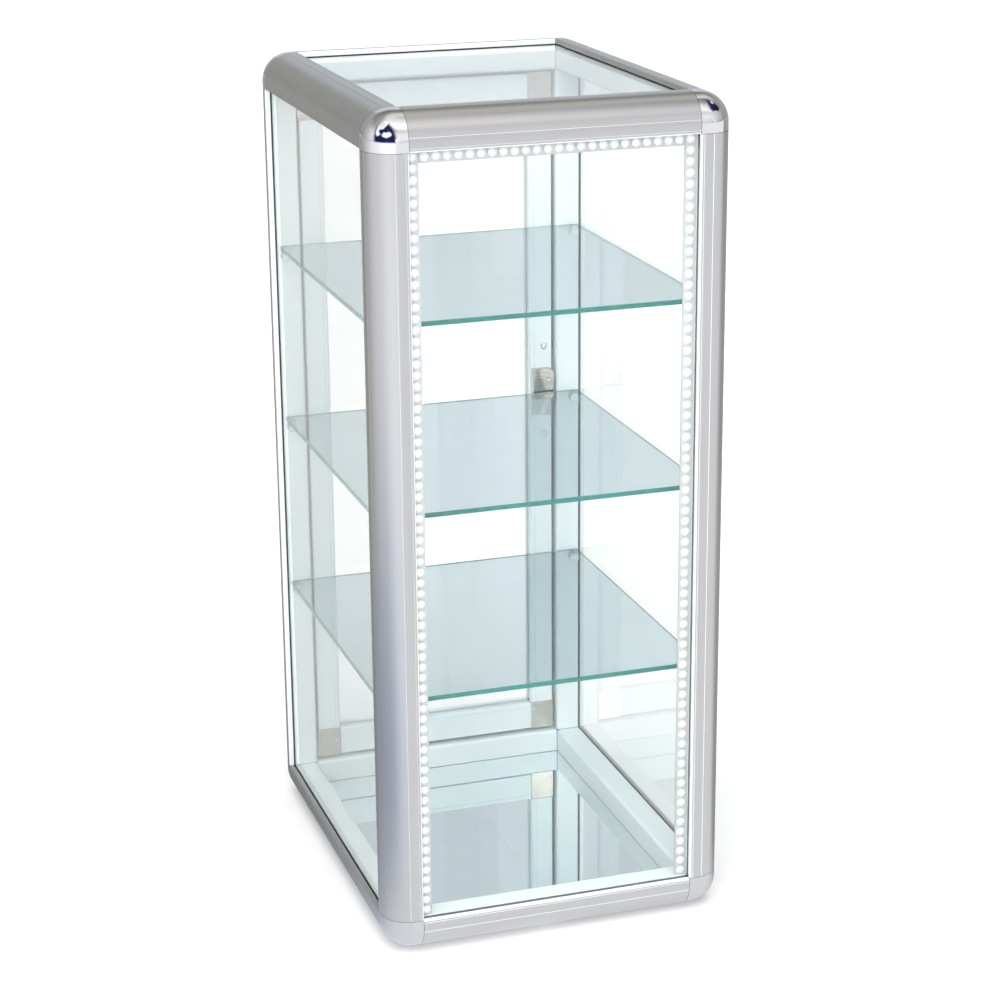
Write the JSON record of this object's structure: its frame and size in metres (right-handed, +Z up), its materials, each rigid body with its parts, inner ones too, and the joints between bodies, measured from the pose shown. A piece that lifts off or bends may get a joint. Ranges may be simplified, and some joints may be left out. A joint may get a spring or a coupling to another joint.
{
  "type": "display case",
  "caption": "Countertop glass display case: aluminium frame, hinged rear door with key lock, lift-off glass shelves on pegs, mirror floor and light strips.",
  "frame": {"origin": "middle of the case's underside", "axes": "+Z up, glass front towards -Y, hinged rear door towards +Y, +X to the right seen from the front"},
  "size_m": [0.292, 0.366, 0.686],
  "materials": {
    "frame_aluminium": "satin anodised extrusion with fine lines along its length",
    "corner_chrome": "polished chrome",
    "corner_satin": "satin chrome",
    "pane_glass": "clear float glass with pale green-blue edges",
    "shelf_glass": "clear float glass with ground green-blue edges",
    "mirror": "silvered glass",
    "gasket_rubber": "matt black glazing rubber",
    "light_strip": "white strip with small light-emitting beads",
    "peg_metal": "satin plated steel",
    "lock_metal": "polished cam lock",
    "socket_plastic": "black moulded plastic"
  },
  "bodies": {
    "frame": {"front_left_post": "frame_aluminium", "front_right_post": "frame_aluminium", "rear_left_post": "frame_aluminium", "rear_right_post": "frame_aluminium", "front_bottom_rail": "frame_aluminium", "front_top_rail": "frame_aluminium", "rear_bottom_rail": "frame_aluminium", "rear_top_rail": "frame_aluminium", "left_bottom_rail": "frame_aluminium", "left_top_rail": "frame_aluminium", "right_bottom_rail": "frame_aluminium", "right_top_rail": "frame_aluminium", "front_bottom_left_corner": "corner_satin", "front_bottom_right_corner": "corner_satin", "front_top_left_corner": "corner_chrome", "front_top_right_corner": "corner_chrome", "rear_bottom_left_corner": "corner_satin", "rear_bottom_right_corner": "corner_satin", "rear_top_left_corner": "corner_chrome", "rear_top_right_corner": "corner_chrome", "front_glass": "pane_glass", "left_glass": "pane_glass", "right_glass": "pane_glass", "top_glass": "pane_glass", "mirror_floor": "mirror", "left_gasket": "gasket_rubber", "right_gasket": "gasket_rubber", "top_gasket": "gasket_rubber", "left_light_strip": "light_strip", "right_light_strip": "light_strip", "top_light_strip": "light_strip", "upper_shelf_front_left_peg": "peg_metal", "upper_shelf_front_right_peg": "peg_metal", "upper_shelf_rear_left_peg": "peg_metal", "upper_shelf_rear_right_peg": "peg_metal", "middle_shelf_front_left_peg": "peg_metal", "middle_shelf_front_right_peg": "peg_metal", "middle_shelf_rear_left_peg": "peg_metal", "middle_shelf_rear_right_peg": "peg_metal", "lower_shelf_front_left_peg": "peg_metal", "lower_shelf_front_right_peg": "peg_metal", "lower_shelf_rear_left_peg": "peg_metal", "lower_shelf_rear_right_peg": "peg_metal", "power_socket": "socket_plastic"},
    "door": {"door_left_stile": "frame_aluminium", "door_right_stile": "frame_aluminium", "door_top_rail": "frame_aluminium", "door_bottom_rail": "frame_aluminium", "door_glass": "pane_glass", "door_bottom_left_corner": "corner_chrome", "door_bottom_right_corner": "corner_chrome", "door_top_left_corner": "corner_chrome", "door_top_right_corner": "corner_chrome", "catch_plate": "corner_chrome", "lock_body": "lock_metal"},
    "lock_plug": {"lock_plug": "lock_metal"},
    "lock_bolt": {"lock_bolt": "peg_metal"},
    "upper_shelf": {"upper_shelf": "shelf_glass"},
    "middle_shelf": {"middle_shelf": "shelf_glass"},
    "lower_shelf": {"lower_shelf": "shelf_glass"}
  },
  "joints": [
    {"name": "door_hinge", "type": "hinge", "parent": "frame", "child": "door", "pos_m": [-0.104, 0.172, 0.343], "axis": [0, 0, 1], "range_deg": [0, 110]},
    {"name": "lock_turn", "type": "hinge", "parent": "door", "child": "lock_plug", "pos_m": [0.10575, 0.177, 0.408], "axis": [0, 1, 0], "range_deg": [0, 90]},
    {"name": "bolt_slide", "type": "slide", "parent": "door", "child": "lock_bolt", "axis": [1, 0, 0], "range_m": [0, 0.008]},
    {"name": "upper_shelf_lift", "type": "slide", "parent": "frame", "child": "upper_shelf", "axis": [0, 0, 1], "range_m": [0, 0.02]},
    {"name": "middle_shelf_lift", "type": "slide", "parent": "frame", "child": "middle_shelf", "axis": [0, 0, 1], "range_m": [0, 0.02]},
    {"name": "lower_shelf_lift", "type": "slide", "parent": "frame", "child": "lower_shelf", "axis": [0, 0, 1], "range_m": [0, 0.02]}
  ],
  "couplings": [
    {"joint": "lock_turn", "follows": "bolt_slide", "rad_per_m": 196.3}
  ]
}
